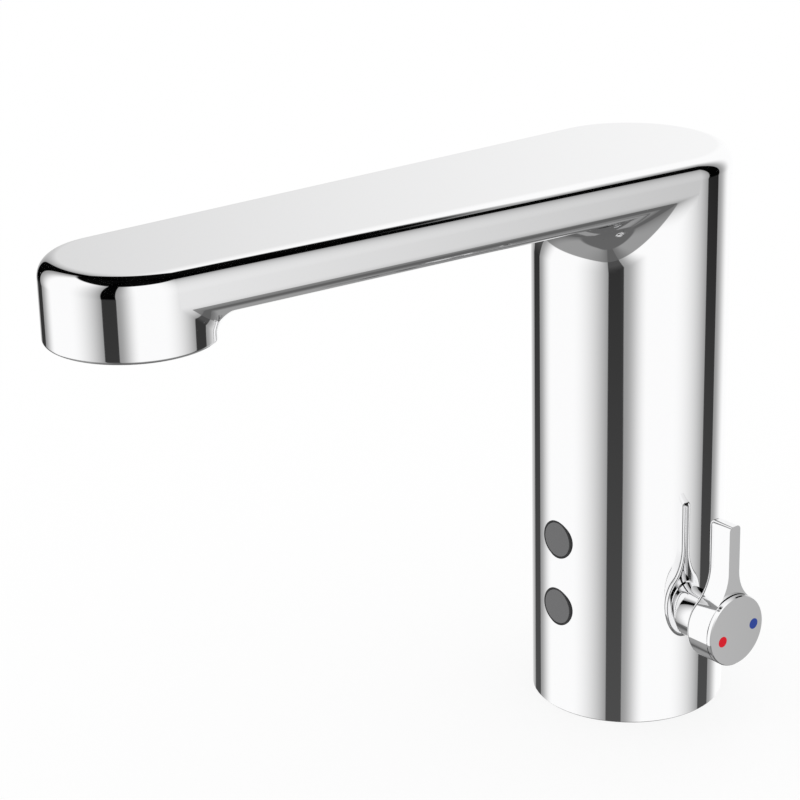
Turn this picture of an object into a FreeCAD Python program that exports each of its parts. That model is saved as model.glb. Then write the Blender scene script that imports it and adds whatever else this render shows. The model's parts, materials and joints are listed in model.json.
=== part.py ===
import FreeCAD, Part
import math
import os

import Sketcher

# Sensor tap: a chromed column with a flat tapering spout arm, two sensor windows in
# front and a mixing lever on the right.  Millimetres.  The origin is the centre of the
# column's foot, +Z is up, the arm runs along -Y and the lever's axis along +X.

sizes = {
    # outer casting
    "column_radius": 25.5,
    "tip_radius": 20.0,
    "reach": 150.1,
    "top_height": 150.14,
    "top_rise": 1.07,
    "arm_thickness": 12.2,
    "head_bottom": 134.04,
    "head_back": 12.2,
    "column_flare": 13.0,
    "head_flare": 5.4,
    "arm_rounding": 4.5,
    "top_rounding": 4.5,
    "head_rounding": 0.9,
    "foot_chamfer": 0.3,
    "blend_start": 6.0,
    "blend_end": 145.4,
    "slab_width": 70.0,
    # hollows of the casting
    "cavity_radius": 21.5,
    "cavity_top": 146.4,
    "channel_big": 19.5,
    "channel_small": 13.5,
    "channel_floor": 2.6,
    "channel_height": 6.6,
    "head_bore": 11.5,
    "head_bore_top": 150.2,
    "lug_radius": 4.0,
    "lug_place": 18.2,
    "lug_height": 6.0,
    # foot
    "block_height": 12.0,
    "gasket_inside": 19.7,
    "gasket_height": 1.5,
    "stud_hole": 3.4,
    "inlet_x": 7.5,
    "inlet_y": 11.5,
    "inlet_hole": 4.5,
    "inlet_depth": 7.5,
    "filter_hole": 3.0,
    "leg_socket": 2.0,
    "cable_place": 10.5,
    "cable_hole": 3.6,
    "cable_bore": 2.2,
    "screw_place": 17.0,
    "screw_radius": 1.5,
    "screw_head": 2.6,
    "screw_head_height": 1.8,
    "screw_length": 16.0,
    # inlet check valves
    "check_radius": 4.2,
    "check_bore": 3.0,
    "check_height": 11.0,
    "check_seat": 1.7,
    "seat_height": 1.2,
    "poppet_radius": 2.6,
    "poppet_height": 1.0,
    "stem_radius": 0.8,
    "guide_bore": 0.85,
    "guide_place": 9.0,
    "stem_height": 10.5,
    "check_lift": 0.1,
    # mixing block and lever axis
    "lever_height": 29.05,
    "barrel_radius": 10.5,
    "barrel_left": 16.5,
    "barrel_right": 17.5,
    "barrel_bore": 8.0,
    "bore_end": 13.0,
    "nose_radius": 7.0,
    "nose_end": 20.2,
    "leg_radius": 5.5,
    "leg_top": 36.0,
    "port_radius": 2.6,
    "riser_y": 7.35,
    "riser_radius": 4.2,
    "riser_bore": 2.0,
    "riser_top": 44.0,
    "plug_depth": 4.0,
    "plug_hex": 3.5,
    "liner_bore": 6.6,
    "drum_radius": 6.55,
    "drum_bore": 4.0,
    "drum_left": 12.0,
    "drum_right": 12.5,
    "drum_floor": 10.3,
    "window_turn": 35.0,
    "mix_hole": 1.5,
    "tongue_width": 2.0,
    "tongue_height": 5.6,
    "spindle_radius": 3.0,
    "spindle_start": 12.6,
    "spindle_end": 37.4,
    "seal_start": 27.0,
    "seal_width": 1.8,
    "seal_inside": 2.2,
    # neck sleeve and lever
    "sleeve_radius": 6.5,
    "sleeve_seat": 24.0,
    "sleeve_shank": 5.0,
    "sleeve_bore": 3.05,
    "sleeve_end": 30.8,
    "knob_radius": 9.5,
    "knob_start": 31.1,
    "knob_length": 7.7,
    "knob_edge": 0.35,
    "blade_half": 1.9,
    "blade_top": 28.7,
    "blade_flare": 10.9,
    "blade_corner": 1.2,
    "blade_heel": 1.5,
    "cap_start": 38.8,
    "cap_groove": 0.3,
    "cap_groove_radius": 9.0,
    "cap_radius": 9.535,
    "cap_end": 40.25,
    "cap_boss": 4.0,
    "cap_boss_depth": 1.0,
    "dot_radius": 1.45,
    "dot_depth": 0.25,
    "hot_dot_y": 5.0,
    "hot_dot_z": 1.6,
    "cold_dot_y": 6.2,
    "cold_dot_z": 0.1,
    "grub_radius": 2.0,
    "grub_length": 5.6,
    "grub_hex": 1.1,
    # sensor
    "upper_lens": 48.85,
    "lower_lens": 29.75,
    "lens_radius": 4.75,
    "lens_hole": 5.2,
    "lens_thickness": 2.3,
    "gasket_length": 3.5,
    "housing_half": 8.0,
    "housing_front": 19.0,
    "housing_depth": 4.7,
    "housing_low": 21.0,
    "housing_high": 58.0,
    "housing_wall": 1.2,
    "snout_length": 4.1,
    "snout_bore": 3.0,
    "board_half": 6.6,
    "board_front": 15.8,
    "board_thickness": 1.4,
    "diode_radius": 2.5,
    "diode_length": 6.0,
    # solenoid valve
    "valve_bottom": 42.0,
    "valve_radius": 14.0,
    "valve_top": 57.0,
    "seat_bore": 4.0,
    "seat_wall": 5.2,
    "ring_outside": 9.5,
    "ring_floor": 50.0,
    "duct_height": 45.8,
    "duct_radius": 2.0,
    "duct_floor": 43.4,
    "boss_bore": 2.3,
    "tube_y": 17.5,
    "tube_socket": 52.0,
    "boss_radius": 3.9,
    "boss_top": 57.0,
    "membrane_radius": 10.8,
    "membrane_thickness": 1.2,
    "membrane_hole": 2.5,
    "insert_radius": 3.4,
    "insert_stem": 2.2,
    "insert_top": 59.4,
    "insert_bottom": 55.5,
    "pilot_radius": 0.4,
    "bonnet_top": 63.0,
    "bonnet_roof": 61.5,
    "bolt_place": 8.5,
    "bolt_radius": 1.25,
    "bolt_head": 1.9,
    "bolt_head_height": 1.4,
    "bolt_length": 12.0,
    "guide_radius": 5.0,
    "guide_inside": 4.05,
    "guide_bottom": 60.5,
    "guide_core": 84.0,
    "guide_top": 93.0,
    "plunger_radius": 4.0,
    "plunger_bottom": 59.9,
    "plunger_top": 81.5,
    "plunger_pocket": 74.0,
    "pocket_radius": 2.7,
    "tip_seal_radius": 1.5,
    "tip_seal_bottom": 59.5,
    "tip_seal_height": 1.2,
    "bobbin_radius": 12.0,
    "bobbin_bottom": 64.7,
    "bobbin_top": 88.6,
    "bobbin_flange": 1.2,
    "bobbin_core": 6.2,
    "winding_radius": 11.2,
    "yoke_half": 14.0,
    "yoke_depth": 6.2,
    "yoke_sheet": 1.4,
    "nut_radius": 7.5,
    # waterway and outlet
    "tube_radius": 2.7,
    "tube_bore": 2.0,
    "tube_bend": 10.0,
    "tube_axis": 6.0,
    "tube_end": 141.7,
    "elbow_bottom": 143.4,
    "elbow_radius": 11.4,
    "elbow_bore": 5.5,
    "elbow_roof": 149.2,
    "elbow_top": 150.1,
    "washer_height": 1.0,
    "washer_inside": 8.6,
    "aerator_bottom": 134.34,
    "aerator_radius": 11.45,
    "aerator_inside": 9.6,
    "aerator_lip": 8.7,
    "lip_height": 0.9,
    "key_slot": 2.4,
    "insert_disc": 9.5,
    "insert_height": 5.6,
    "jet_radius": 1.0,
    "jet_inner_ring": 3.3,
    "jet_outer_ring": 6.6,
    "screen_height": 0.6,
    "screen_inside": 8.4,
    "screen_wire": 0.35,
}

lens_heights = {"upper": "upper_lens", "lower": "lower_lens"}
inlet_sides = {"hot": "- inlet_x", "cold": "inlet_x"}

turns = {
    "z": FreeCAD.Rotation(FreeCAD.Vector(0, 0, 1), 0),
    "x": FreeCAD.Rotation(FreeCAD.Vector(0, 1, 0), 90),
    "-x": FreeCAD.Rotation(FreeCAD.Vector(0, 1, 0), -90),
    "y": FreeCAD.Rotation(FreeCAD.Vector(1, 0, 0), -90),
    "-y": FreeCAD.Rotation(FreeCAD.Vector(1, 0, 0), 90),
    "-z": FreeCAD.Rotation(FreeCAD.Vector(1, 0, 0), 180),
}

doc = FreeCAD.newDocument("sensor_tap")
sheet = doc.addObject("Spreadsheet::Sheet", "Sizes")
for row, (word, number) in enumerate(sizes.items(), start=1):
    sheet.set("A%d" % row, word)
    sheet.set("B%d" % row, str(number))
    sheet.setAlias("B%d" % row, word)
doc.recompute()

nodes = []


def tie(formula):
    # "knob_radius - 1" becomes an expression on the sheet's cells
    return " ".join("Sizes." + word if word in sizes else word for word in formula.split())


def place(thing, at, axis="z"):
    # a steady turn, and a position tied to the sheet
    thing.Placement = FreeCAD.Placement(FreeCAD.Vector(0, 0, 0), turns[axis])
    for letter, formula in zip("xyz", at):
        thing.setExpression("Placement.Base." + letter, tie(formula))
    return thing


def node(thing, label):
    thing.Label = label
    nodes.append(thing)
    return thing


def origin_plane(body, role):
    for feature in body.Origin.OriginFeatures:
        if feature.Role == role:
            return feature


def new_sketch(body, plane):
    sketch = body.newObject("Sketcher::SketchObject", body.Name + "_sketch")
    sketch.AttachmentSupport = (origin_plane(body, plane), [""])
    sketch.MapMode = "FlatFace"
    return sketch


def measure(sketch, kind, geometry, point, formula):
    # distance of a sketch point from the origin along one axis, left or down when "- ..."
    if formula == "0":
        axis = -2 if kind == "DistanceX" else -1
        sketch.addConstraint(Sketcher.Constraint("PointOnObject", geometry, point, axis))
        return
    if formula.startswith("- "):
        index = sketch.addConstraint(Sketcher.Constraint(kind, geometry, point, -1, 1, 5.0))
        formula = formula[2:]
    else:
        index = sketch.addConstraint(Sketcher.Constraint(kind, -1, 1, geometry, point, 5.0))
    sketch.setExpression("Constraints[%d]" % index, tie(formula))


def outline(body, plane, corners):
    # closed outline through corners given as pairs of size formulas
    sketch = new_sketch(body, plane)
    count = len(corners)
    ring = []
    for index in range(count):
        angle = 2 * math.pi * index / count
        ring.append(FreeCAD.Vector(20 + 5 * math.cos(angle), 20 + 5 * math.sin(angle), 0))
    for index in range(count):
        sketch.addGeometry(Part.LineSegment(ring[index], ring[(index + 1) % count]))
    for index in range(count):
        following = (index + 1) % count
        sketch.addConstraint(Sketcher.Constraint("Coincident", index, 2, following, 1))
    for index, (across, along) in enumerate(corners):
        measure(sketch, "DistanceX", index, 1, across)
        measure(sketch, "DistanceY", index, 1, along)
    return sketch


def ring_sketch(body, radius, across="0", along="0", plane="XY_Plane"):
    # one circle
    sketch = new_sketch(body, plane)
    sketch.addGeometry(Part.Circle(FreeCAD.Vector(1, 1, 0), FreeCAD.Vector(0, 0, 1), 1))
    measure(sketch, "DistanceX", 0, 3, across)
    measure(sketch, "DistanceY", 0, 3, along)
    index = sketch.addConstraint(Sketcher.Constraint("Radius", 0, 1.0))
    sketch.setExpression("Constraints[%d]" % index, tie(radius))
    return sketch


def turned(name, corners, at=("0", "0", "0"), axis="z"):
    # a lathe part: the outline gives radius and height along the axis
    body = doc.addObject("PartDesign::Body", name)
    sketch = outline(body, "XZ_Plane", corners)
    turn = body.newObject("PartDesign::Revolution", name + "_turn")
    turn.Profile = sketch
    turn.ReferenceAxis = (sketch, ["V_Axis"])
    turn.Angle = 360
    return place(body, at, axis)


def pocketed(body, sketch, name):
    # a pocket through everything on both sides of its sketch
    pocket = body.newObject("PartDesign::Pocket", name)
    pocket.Profile = sketch
    pocket.Type = "ThroughAll"
    pocket.Midplane = True
    return pocket


def repeated(body, feature, count, name):
    # the same feature several times round the body's own axis
    pattern = body.newObject("PartDesign::PolarPattern", name)
    pattern.Originals = [feature]
    pattern.Axis = (origin_plane(body, "Z_Axis"), [""])
    pattern.Angle = 360
    pattern.Occurrences = count
    body.Tip = pattern
    return pattern


def rod(name, radius, length, at=("0", "0", "0"), axis="z"):
    thing = doc.addObject("Part::Cylinder", name)
    thing.setExpression("Radius", tie(radius))
    thing.setExpression("Height", tie(length))
    return place(thing, at, axis)


def box(name, length, width, height, at):
    thing = doc.addObject("Part::Box", name)
    thing.setExpression("Length", tie(length))
    thing.setExpression("Width", tie(width))
    thing.setExpression("Height", tie(height))
    return place(thing, at)


def joined(name, parts):
    thing = doc.addObject("Part::MultiFuse", name)
    thing.Shapes = parts
    thing.Refine = True
    return thing


def carved(name, base, tools):
    thing = doc.addObject("Part::Cut", name)
    thing.Base = base
    thing.Tool = tools[0] if len(tools) == 1 else joined(name + "_tools", tools)
    thing.Refine = True
    return thing


def shared(name, base, tool):
    thing = doc.addObject("Part::Common", name)
    thing.Base = base
    thing.Tool = tool
    thing.Refine = True
    return thing


def rounded(name, base, radius, wanted):
    # rounding of every edge that the test picks out
    doc.recompute()
    thing = doc.addObject("Part::Fillet", name)
    thing.Base = base
    picked = [number for number, edge in enumerate(base.Shape.Edges, start=1) if wanted(edge)]
    thing.Edges = [(number, sizes[radius], sizes[radius]) for number in picked]
    return thing


def stadium(body, big, small, reach):
    # plan outline: a big circle at the column, a small one at the tip, tangent flanks
    sketch = new_sketch(body, "XY_Plane")
    lean = math.asin((sizes[big] - sizes[small]) / sizes[reach])
    middle = FreeCAD.Vector(0, 0, 0)
    tip = FreeCAD.Vector(0, -sizes[reach], 0)
    up = FreeCAD.Vector(0, 0, 1)

    def on_ring(centre, radius, angle):
        return centre + FreeCAD.Vector(radius * math.cos(angle), radius * math.sin(angle), 0)

    back = Part.ArcOfCircle(Part.Circle(middle, up, sizes[big]), -lean, math.pi + lean)
    front = Part.ArcOfCircle(Part.Circle(tip, up, sizes[small]), math.pi + lean, 2 * math.pi - lean)
    left = Part.LineSegment(on_ring(middle, sizes[big], math.pi + lean),
                            on_ring(tip, sizes[small], math.pi + lean))
    right = Part.LineSegment(on_ring(tip, sizes[small], -lean),
                             on_ring(middle, sizes[big], -lean))
    for item in (back, left, front, right):
        sketch.addGeometry(item)
    for one, other in ((0, 1), (1, 2), (2, 3), (3, 0)):
        sketch.addConstraint(Sketcher.Constraint("Tangent", one, 2, other, 1))
    sketch.addConstraint(Sketcher.Constraint("Coincident", 0, 3, -1, 1))
    sketch.addConstraint(Sketcher.Constraint("PointOnObject", 2, 3, -2))
    for constraint, formula in (
        (Sketcher.Constraint("Radius", 0, sizes[big]), big),
        (Sketcher.Constraint("Radius", 2, sizes[small]), small),
        (Sketcher.Constraint("DistanceY", 2, 3, -1, 1, sizes[reach]), reach),
    ):
        index = sketch.addConstraint(constraint)
        sketch.setExpression("Constraints[%d]" % index, tie(formula))
    return sketch


def pad(body, sketch, length, name):
    feature = body.newObject("PartDesign::Pad", name)
    feature.Profile = sketch
    feature.setExpression("Length", tie(length))
    return feature


def tilted(body):
    # follows the arm's rise towards its tip
    turn = FreeCAD.Rotation(FreeCAD.Vector(-1, 0, 0), sizes["top_rise"])
    body.Placement = FreeCAD.Placement(FreeCAD.Vector(0, 0, 0), turn)
    return body


# Outer form of the casting

plan = doc.addObject("PartDesign::Body", "plan_form")
pad(plan, stadium(plan, "column_radius", "tip_radius", "reach"), "top_height + 10", "plan_pad")

arm_low = "( top_height - arm_thickness ) * cos( top_rise * 1 deg )"
arm_high = "top_height * cos( top_rise * 1 deg )"
slab = tilted(doc.addObject("PartDesign::Body", "arm_slab"))
slab_face = outline(slab, "YZ_Plane", [
    ("- reach + column_radius * 2", arm_low),
    ("column_radius * 2", arm_low),
    ("column_radius * 2", arm_high),
    ("- reach + column_radius * 2", arm_high),
])
slab_pad = pad(slab, slab_face, "slab_width * 2", "slab_pad")
slab_pad.Midplane = True

column = rod("column_form", "column_radius", "top_height")
head_round = rod("head_round", "tip_radius", "top_height - head_bottom", ("0", "- reach", "head_bottom"))
head_cut = box("head_cut", "slab_width", "tip_radius * 2", "top_height",
               ("- slab_width / 2", "head_back - reach", "0"))
head_back_y = sizes["head_back"] - sizes["reach"]
head_sides = rounded("head_sides", carved("head_blank", head_round, [head_cut]), "arm_rounding",
                     lambda edge: edge.BoundBox.ZLength > 10 and edge.BoundBox.YMin > head_back_y - 0.01)
head = rounded("head_form", head_sides, "head_rounding",
               lambda edge: edge.BoundBox.ZMax < sizes["head_bottom"] + 0.01)
rise = math.tan(math.radians(sizes["top_rise"]))
underside = sizes["top_height"] - sizes["arm_thickness"]


def flare_edge(edge, along):
    # the closed run of edges where the column or the head meets the arm's underside
    bounds = edge.BoundBox
    if abs(bounds.Center.y - along) > sizes["column_radius"]:
        return False
    return all(abs(point.z - underside + rise * point.y) < 0.05 for point in edge.discretize(5))


column_joined = joined("column_and_arm", [slab, column])
column_flared = rounded("column_flared", column_joined, "column_flare",
                        lambda edge: flare_edge(edge, 0) and edge.BoundBox.XLength < 60)
head_joined = joined("head_and_arm", [column_flared, head])
head_flared = rounded("head_flared", head_joined, "head_flare",
                      lambda edge: flare_edge(edge, -sizes["reach"]) and edge.BoundBox.XLength < 60)
blank = shared("blank_form", plan, head_flared)

# The arm's lower edges and both flares are rounded in one run on the middle stretch.
# It ends where the flanks turn tangent to the column and to the head.
middle_box = box("middle_box", "slab_width", "blend_end - blend_start", "top_height + 20",
                 ("- slab_width / 2", "- blend_end", "0"))
rear_box = box("rear_box", "slab_width", "slab_width", "top_height + 20",
               ("- slab_width / 2", "- blend_start", "0"))
front_box = box("front_box", "slab_width", "slab_width", "top_height + 20",
                ("- slab_width / 2", "- blend_end - slab_width", "0"))
middle = shared("middle_part", blank, middle_box)
rear = shared("rear_part", blank, rear_box)
front = shared("front_part", blank, front_box)


def lower_edge(edge):
    bounds = edge.BoundBox
    at_side = abs(bounds.Center.x) > 15
    return at_side and bounds.ZMin > 120 and bounds.ZMax < 142 and bounds.YLength > 2


middle_round = rounded("middle_rounded", middle, "arm_rounding", lower_edge)
form = joined("casting_form", [rear, middle_round, front])


def top_edge(edge):
    spot = edge.CenterOfMass
    return abs(spot.z - sizes["top_height"] + rise * spot.y) < 0.3 and edge.BoundBox.ZMin > 149


form_top = rounded("casting_top", form, "top_rounding", top_edge)
doc.recompute()
form_foot = doc.addObject("Part::Chamfer", "casting_foot")
form_foot.Base = form_top
form_foot.Edges = [(number, sizes["foot_chamfer"], sizes["foot_chamfer"])
                   for number, edge in enumerate(form_top.Shape.Edges, start=1)
                   if edge.BoundBox.ZMax < 0.01]

# Hollows of the casting

cavity = rod("cavity", "cavity_radius", "cavity_top")
channel = tilted(doc.addObject("PartDesign::Body", "channel"))
channel_plan = stadium(channel, "channel_big", "channel_small", "reach")
channel_plan.AttachmentOffset = FreeCAD.Placement(FreeCAD.Vector(0, 0, 1), FreeCAD.Rotation())
channel_plan.setExpression("AttachmentOffset.Base.z", tie(arm_low + " + channel_floor"))
pad(channel, channel_plan, "channel_height", "channel_pad")
head_bore = rod("head_bore", "head_bore", "head_bore_top - head_bottom + 1",
                ("0", "- reach", "head_bottom - 1"))
head_bore.Label = "head_hollow"
neck_seat = rod("neck_seat", "sleeve_radius", "10", ("sleeve_seat", "0", "lever_height"), "x")
neck_hole = rod("neck_hole", "sleeve_shank", "20", ("15", "0", "lever_height"), "x")
windows = [rod(name + "_window", "lens_hole", "10", ("0", "- column_radius - 1", height), "y")
           for name, height in lens_heights.items()]
hollow = carved("hollow_casting", form_foot,
                [cavity, channel, head_bore, neck_seat, neck_hole] + windows)

lug_spots = {
    "right": ("lug_place", "0", "screw_place", "0"),
    "left": ("- lug_place", "0", "- screw_place", "0"),
    "front": ("0", "- lug_place", "0", "- screw_place"),
}
lugs = [rod(name + "_lug", "lug_radius", "lug_height", (spot[0], spot[1], "block_height"))
        for name, spot in lug_spots.items()]
lug_limit = rod("lug_limit", "( cavity_radius + column_radius ) / 2", "top_height")
lug_ring = shared("lug_ring", joined("lugs", lugs), lug_limit)
pilots = [rod(name + "_pilot", "screw_radius", "lug_height + 2",
              (spot[2], spot[3], "block_height - 1"))
          for name, spot in lug_spots.items()]
casting = joined("casting_with_lugs", [hollow, lug_ring])
node(carved("tap_body", casting, pilots), "tap_body")

# Foot: a brass block that carries the fixing stud and the two inlets

base = turned("base_blank", [
    ("0", "0"), ("gasket_inside", "0"), ("gasket_inside", "gasket_height"),
    ("cavity_radius", "gasket_height"), ("cavity_radius", "block_height"), ("0", "block_height"),
])
base_holes = [rod("stud_bore", "stud_hole", "block_height + 2", ("0", "0", "- 1"))]
base_holes.append(rod("cable_bore", "cable_hole", "block_height + 2",
                      ("- cable_place", "- cable_place", "- 1")))
for side, across in inlet_sides.items():
    base_holes.append(rod(side + "_inlet", "inlet_hole", "inlet_depth + 1",
                          (across, "inlet_y", "- 1")))
    base_holes.append(rod(side + "_passage", "filter_hole", "block_height", (across, "inlet_y", "1")))
    base_holes.append(rod(side + "_socket", "leg_radius", "leg_socket + 1",
                          (across, "inlet_y", "block_height - leg_socket")))
for name, spot in lug_spots.items():
    base_holes.append(rod(name + "_clearance", "screw_radius", "block_height + 2",
                          (spot[2], spot[3], "- 1")))
    base_holes.append(rod(name + "_sink", "screw_head", "screw_head_height + 1",
                          (spot[2], spot[3], "- 1")))
node(carved("base_block", base, base_holes), "base_block")

node(turned("base_gasket", [
    ("gasket_inside", "0"), ("cavity_radius", "0"),
    ("cavity_radius", "gasket_height"), ("gasket_inside", "gasket_height"),
]), "base_gasket")

screws = []
for name, spot in lug_spots.items():
    screws.append(rod(name + "_shank", "screw_radius", "screw_length", (spot[2], spot[3], "0.2")))
    head_disc = rod(name + "_screw_head", "screw_head", "screw_head_height - 0.2",
                    (spot[2], spot[3], "0.2"))
    key = doc.addObject("Part::Prism", name + "_screw_key")
    key.Polygon = 6
    key.Circumradius = 1.4
    key.setExpression("Height", tie("screw_head_height / 2 + 0.2"))
    place(key, (spot[2], spot[3], "0"))
    screws[-1] = carved(name + "_screw", joined(name + "_screw_blank", [screws[-1], head_disc]), [key])
node(joined("base_screws", screws), "base_screws")

node(turned("cable_grommet", [
    ("cable_bore", "0.3"), ("cable_hole", "0.3"), ("cable_hole", "block_height"),
    ("cable_hole + 0.8", "block_height"), ("cable_hole + 0.8", "block_height + 1"),
    ("cable_bore", "block_height + 1"),
], ("- cable_place", "- cable_place", "0")), "cable_grommet")

strainers = []
for side, across in inlet_sides.items():
    strainers.append(turned(side + "_strainer", [
        ("filter_hole - 0.5", "0"), ("filter_hole", "0"), ("filter_hole", "1.8"),
        ("0", "1.8"), ("0", "1.4"), ("filter_hole - 0.5", "1.4"),
    ], (across, "inlet_y", "inlet_depth + 0.2")))
node(joined("inlet_strainers", strainers), "inlet_strainers")

# Check valves in the legs of the mixing block


def coil_spring(name, radius, wire, rounds, length, at):
    # a six-sided steel wire wound round the upright axis through at
    pitch = (length - 2 * wire) / rounds
    path = Part.Wire(Part.makeHelix(pitch, pitch * rounds, radius).Edges)
    across = FreeCAD.Vector(1, 0, 0)
    heading = FreeCAD.Vector(0, 2 * math.pi * radius, pitch).normalize()
    corners = []
    for number in range(7):
        spin = FreeCAD.Rotation(heading, 60 * number)
        corners.append(FreeCAD.Vector(radius, 0, 0) + spin.multVec(across) * wire)
    section = Part.makePolygon(corners)
    thing = doc.addObject("Part::Feature", name)
    thing.Shape = path.makePipeShell([section], True, True)
    thing.Placement = FreeCAD.Placement(FreeCAD.Vector(*at), FreeCAD.Rotation())
    return thing


leg_foot = "block_height - leg_socket"
for side, across in inlet_sides.items():
    shell = turned(side + "_check_shell", [
        ("check_seat", "0"), ("check_radius", "0"), ("check_radius", "check_height"),
        ("check_bore", "check_height"), ("check_bore", "seat_height"), ("check_seat", "seat_height"),
    ], (across, "inlet_y", leg_foot))
    bridge = turned(side + "_check_bridge", [
        ("guide_bore", "guide_place"), ("check_bore + 0.1", "guide_place"),
        ("check_bore + 0.1", "guide_place + seat_height"), ("guide_bore", "guide_place + seat_height"),
    ], (across, "inlet_y", leg_foot))
    gaps = [rod("%s_check_gap_%d" % (side, number), "0.6", "check_height",
                ("%s + %.3f" % (across, 1.95 * math.cos(math.radians(angle))),
                 "inlet_y + %.3f" % (1.95 * math.sin(math.radians(angle))),
                 leg_foot + " + seat_height * 3"))
            for number, angle in enumerate((30, 90, 150, 210, 270, 330))]
    cage = carved(side + "_check_cage", bridge, gaps)
    node(joined(side + "_check_valve", [shell, cage]), side + "_check_valve")
    node(turned(side + "_check_poppet", [
        ("0", "0"), ("poppet_radius - 0.6", "0"), ("poppet_radius", "poppet_height * 0.6"),
        ("poppet_radius", "poppet_height"), ("stem_radius", "poppet_height"),
        ("stem_radius", "stem_height - 0.3"), ("stem_radius - 0.3", "stem_height"), ("0", "stem_height"),
    ], (across, "inlet_y", leg_foot + " + seat_height + check_lift")), side + "_check_poppet")
    spring_foot = sizes["block_height"] - sizes["leg_socket"] + sizes["seat_height"]
    spring_foot += sizes["check_lift"] + sizes["poppet_height"]
    spring_head = sizes["block_height"] - sizes["leg_socket"] + sizes["guide_place"]
    sign = -1 if across.startswith("-") else 1
    node(coil_spring(side + "_check_spring", 1.6, 0.2, 5, spring_head - spring_foot,
                     (sign * sizes["inlet_x"], sizes["inlet_y"], spring_foot + 0.2)),
         side + "_check_spring")

# Mixing block: a barrel on the lever's axis on two legs, with a riser to the valve

barrel = rod("barrel", "barrel_radius", "barrel_left + barrel_right",
             ("- barrel_left", "0", "lever_height"), "x")
nose = rod("nose", "nose_radius", "nose_end - bore_end", ("bore_end", "0", "lever_height"), "x")
legs = [rod(side + "_leg", "leg_radius", "leg_top - block_height + leg_socket",
            (across, "inlet_y", leg_foot)) for side, across in inlet_sides.items()]
riser = rod("riser", "riser_radius", "riser_top - lever_height", ("0", "- riser_y", "lever_height"))
block_blank = joined("mixing_blank", [barrel, nose, riser] + legs)
block_holes = [
    rod("barrel_hollow", "barrel_bore", "barrel_left + bore_end + 1",
        ("- barrel_left - 1", "0", "lever_height"), "x"),
    rod("nose_hollow", "sleeve_shank", "20", ("bore_end - 1", "0", "lever_height"), "x"),
    rod("riser_hollow", "riser_bore", "riser_top - lever_height", ("0", "- riser_y", "lever_height + 1")),
]
for side, across in inlet_sides.items():
    block_holes.append(rod(side + "_leg_hollow", "check_radius", "check_height",
                           (across, "inlet_y", leg_foot)))
    block_holes.append(rod(side + "_leg_top", "check_bore", "lever_height + check_bore - block_height",
                           (across, "inlet_y", "block_height")))
    block_holes.append(rod(side + "_port", "port_radius", "inlet_y", (across, "0", "lever_height"), "y"))
node(carved("mixing_block", block_blank, block_holes), "mixing_block")

plug = rod("plug_blank", "barrel_bore", "plug_depth", ("- barrel_left", "0", "lever_height"), "x")
plug_key = doc.addObject("Part::Prism", "plug_key")
plug_key.Polygon = 6
plug_key.setExpression("Circumradius", tie("plug_hex"))
plug_key.setExpression("Height", tie("plug_depth / 2 + 1"))
place(plug_key, ("- barrel_left - 1", "0", "lever_height"), "x")
node(carved("barrel_plug", plug, [plug_key]), "barrel_plug")

liner = turned("liner_blank", [
    ("liner_bore", "0"), ("barrel_bore", "0"),
    ("barrel_bore", "barrel_left - plug_depth + bore_end"),
    ("liner_bore", "barrel_left - plug_depth + bore_end"),
], ("plug_depth - barrel_left", "0", "lever_height"), "x")
liner_ports = [rod(side + "_liner_port", "port_radius", "barrel_bore + 1",
                   (across, "0", "lever_height"), "y") for side, across in inlet_sides.items()]
liner_ports.append(rod("liner_riser", "riser_bore", "barrel_bore + 1", ("0", "- riser_y", "lever_height")))
node(carved("mixing_liner", liner, liner_ports), "mixing_liner")

drum = turned("drum_blank", [
    ("drum_bore", "0"), ("drum_radius", "0"), ("drum_radius", "drum_left + drum_right"),
    ("0", "drum_left + drum_right"), ("0", "drum_left + drum_floor"),
    ("drum_bore", "drum_left + drum_floor"),
], ("- drum_left", "0", "lever_height"), "x")
drum_cuts = []
for side, across in inlet_sides.items():
    lean = sizes["window_turn"] if side == "hot" else -sizes["window_turn"]
    window = rod(side + "_drum_window", "port_radius", "drum_radius + 2", (across, "0", "lever_height"))
    window.Placement.Rotation = FreeCAD.Rotation(FreeCAD.Vector(1, 0, 0), lean - 90)
    drum_cuts.append(window)
for number in range(6):
    hole = rod("drum_hole_%d" % number, "mix_hole", "drum_radius + 2", ("0", "0", "lever_height"))
    hole.Placement.Rotation = FreeCAD.Rotation(FreeCAD.Vector(1, 0, 0), 60 * number)
    drum_cuts.append(hole)
drum_cuts.append(box("drum_slot", "10", "tongue_width + 0.1", "tongue_height + 0.1",
                     ("drum_floor - 0.5", "- tongue_width / 2 - 0.05",
                      "lever_height - tongue_height / 2 - 0.05")))
node(carved("mixing_drum", drum, drum_cuts), "mixing_drum")

spindle = turned("spindle_blank", [
    ("0", "0"), ("spindle_radius", "0"), ("spindle_radius", "seal_start - spindle_start"),
    ("seal_inside", "seal_start - spindle_start"),
    ("seal_inside", "seal_start - spindle_start + seal_width"),
    ("spindle_radius", "seal_start - spindle_start + seal_width"),
    ("spindle_radius", "spindle_end - spindle_start"), ("0", "spindle_end - spindle_start"),
], ("spindle_start", "0", "lever_height"), "x")
tongue = box("tongue", "spindle_start - drum_floor", "tongue_width", "tongue_height",
             ("drum_floor + 0.1", "- tongue_width / 2", "lever_height - tongue_height / 2"))
node(joined("lever_spindle", [spindle, tongue]), "lever_spindle")
node(turned("spindle_seal", [
    ("seal_inside", "0"), ("spindle_radius", "0"), ("spindle_radius + 0.02", "seal_width / 2"),
    ("spindle_radius", "seal_width"), ("seal_inside", "seal_width"),
], ("seal_start", "0", "lever_height"), "x"), "spindle_seal")

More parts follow.
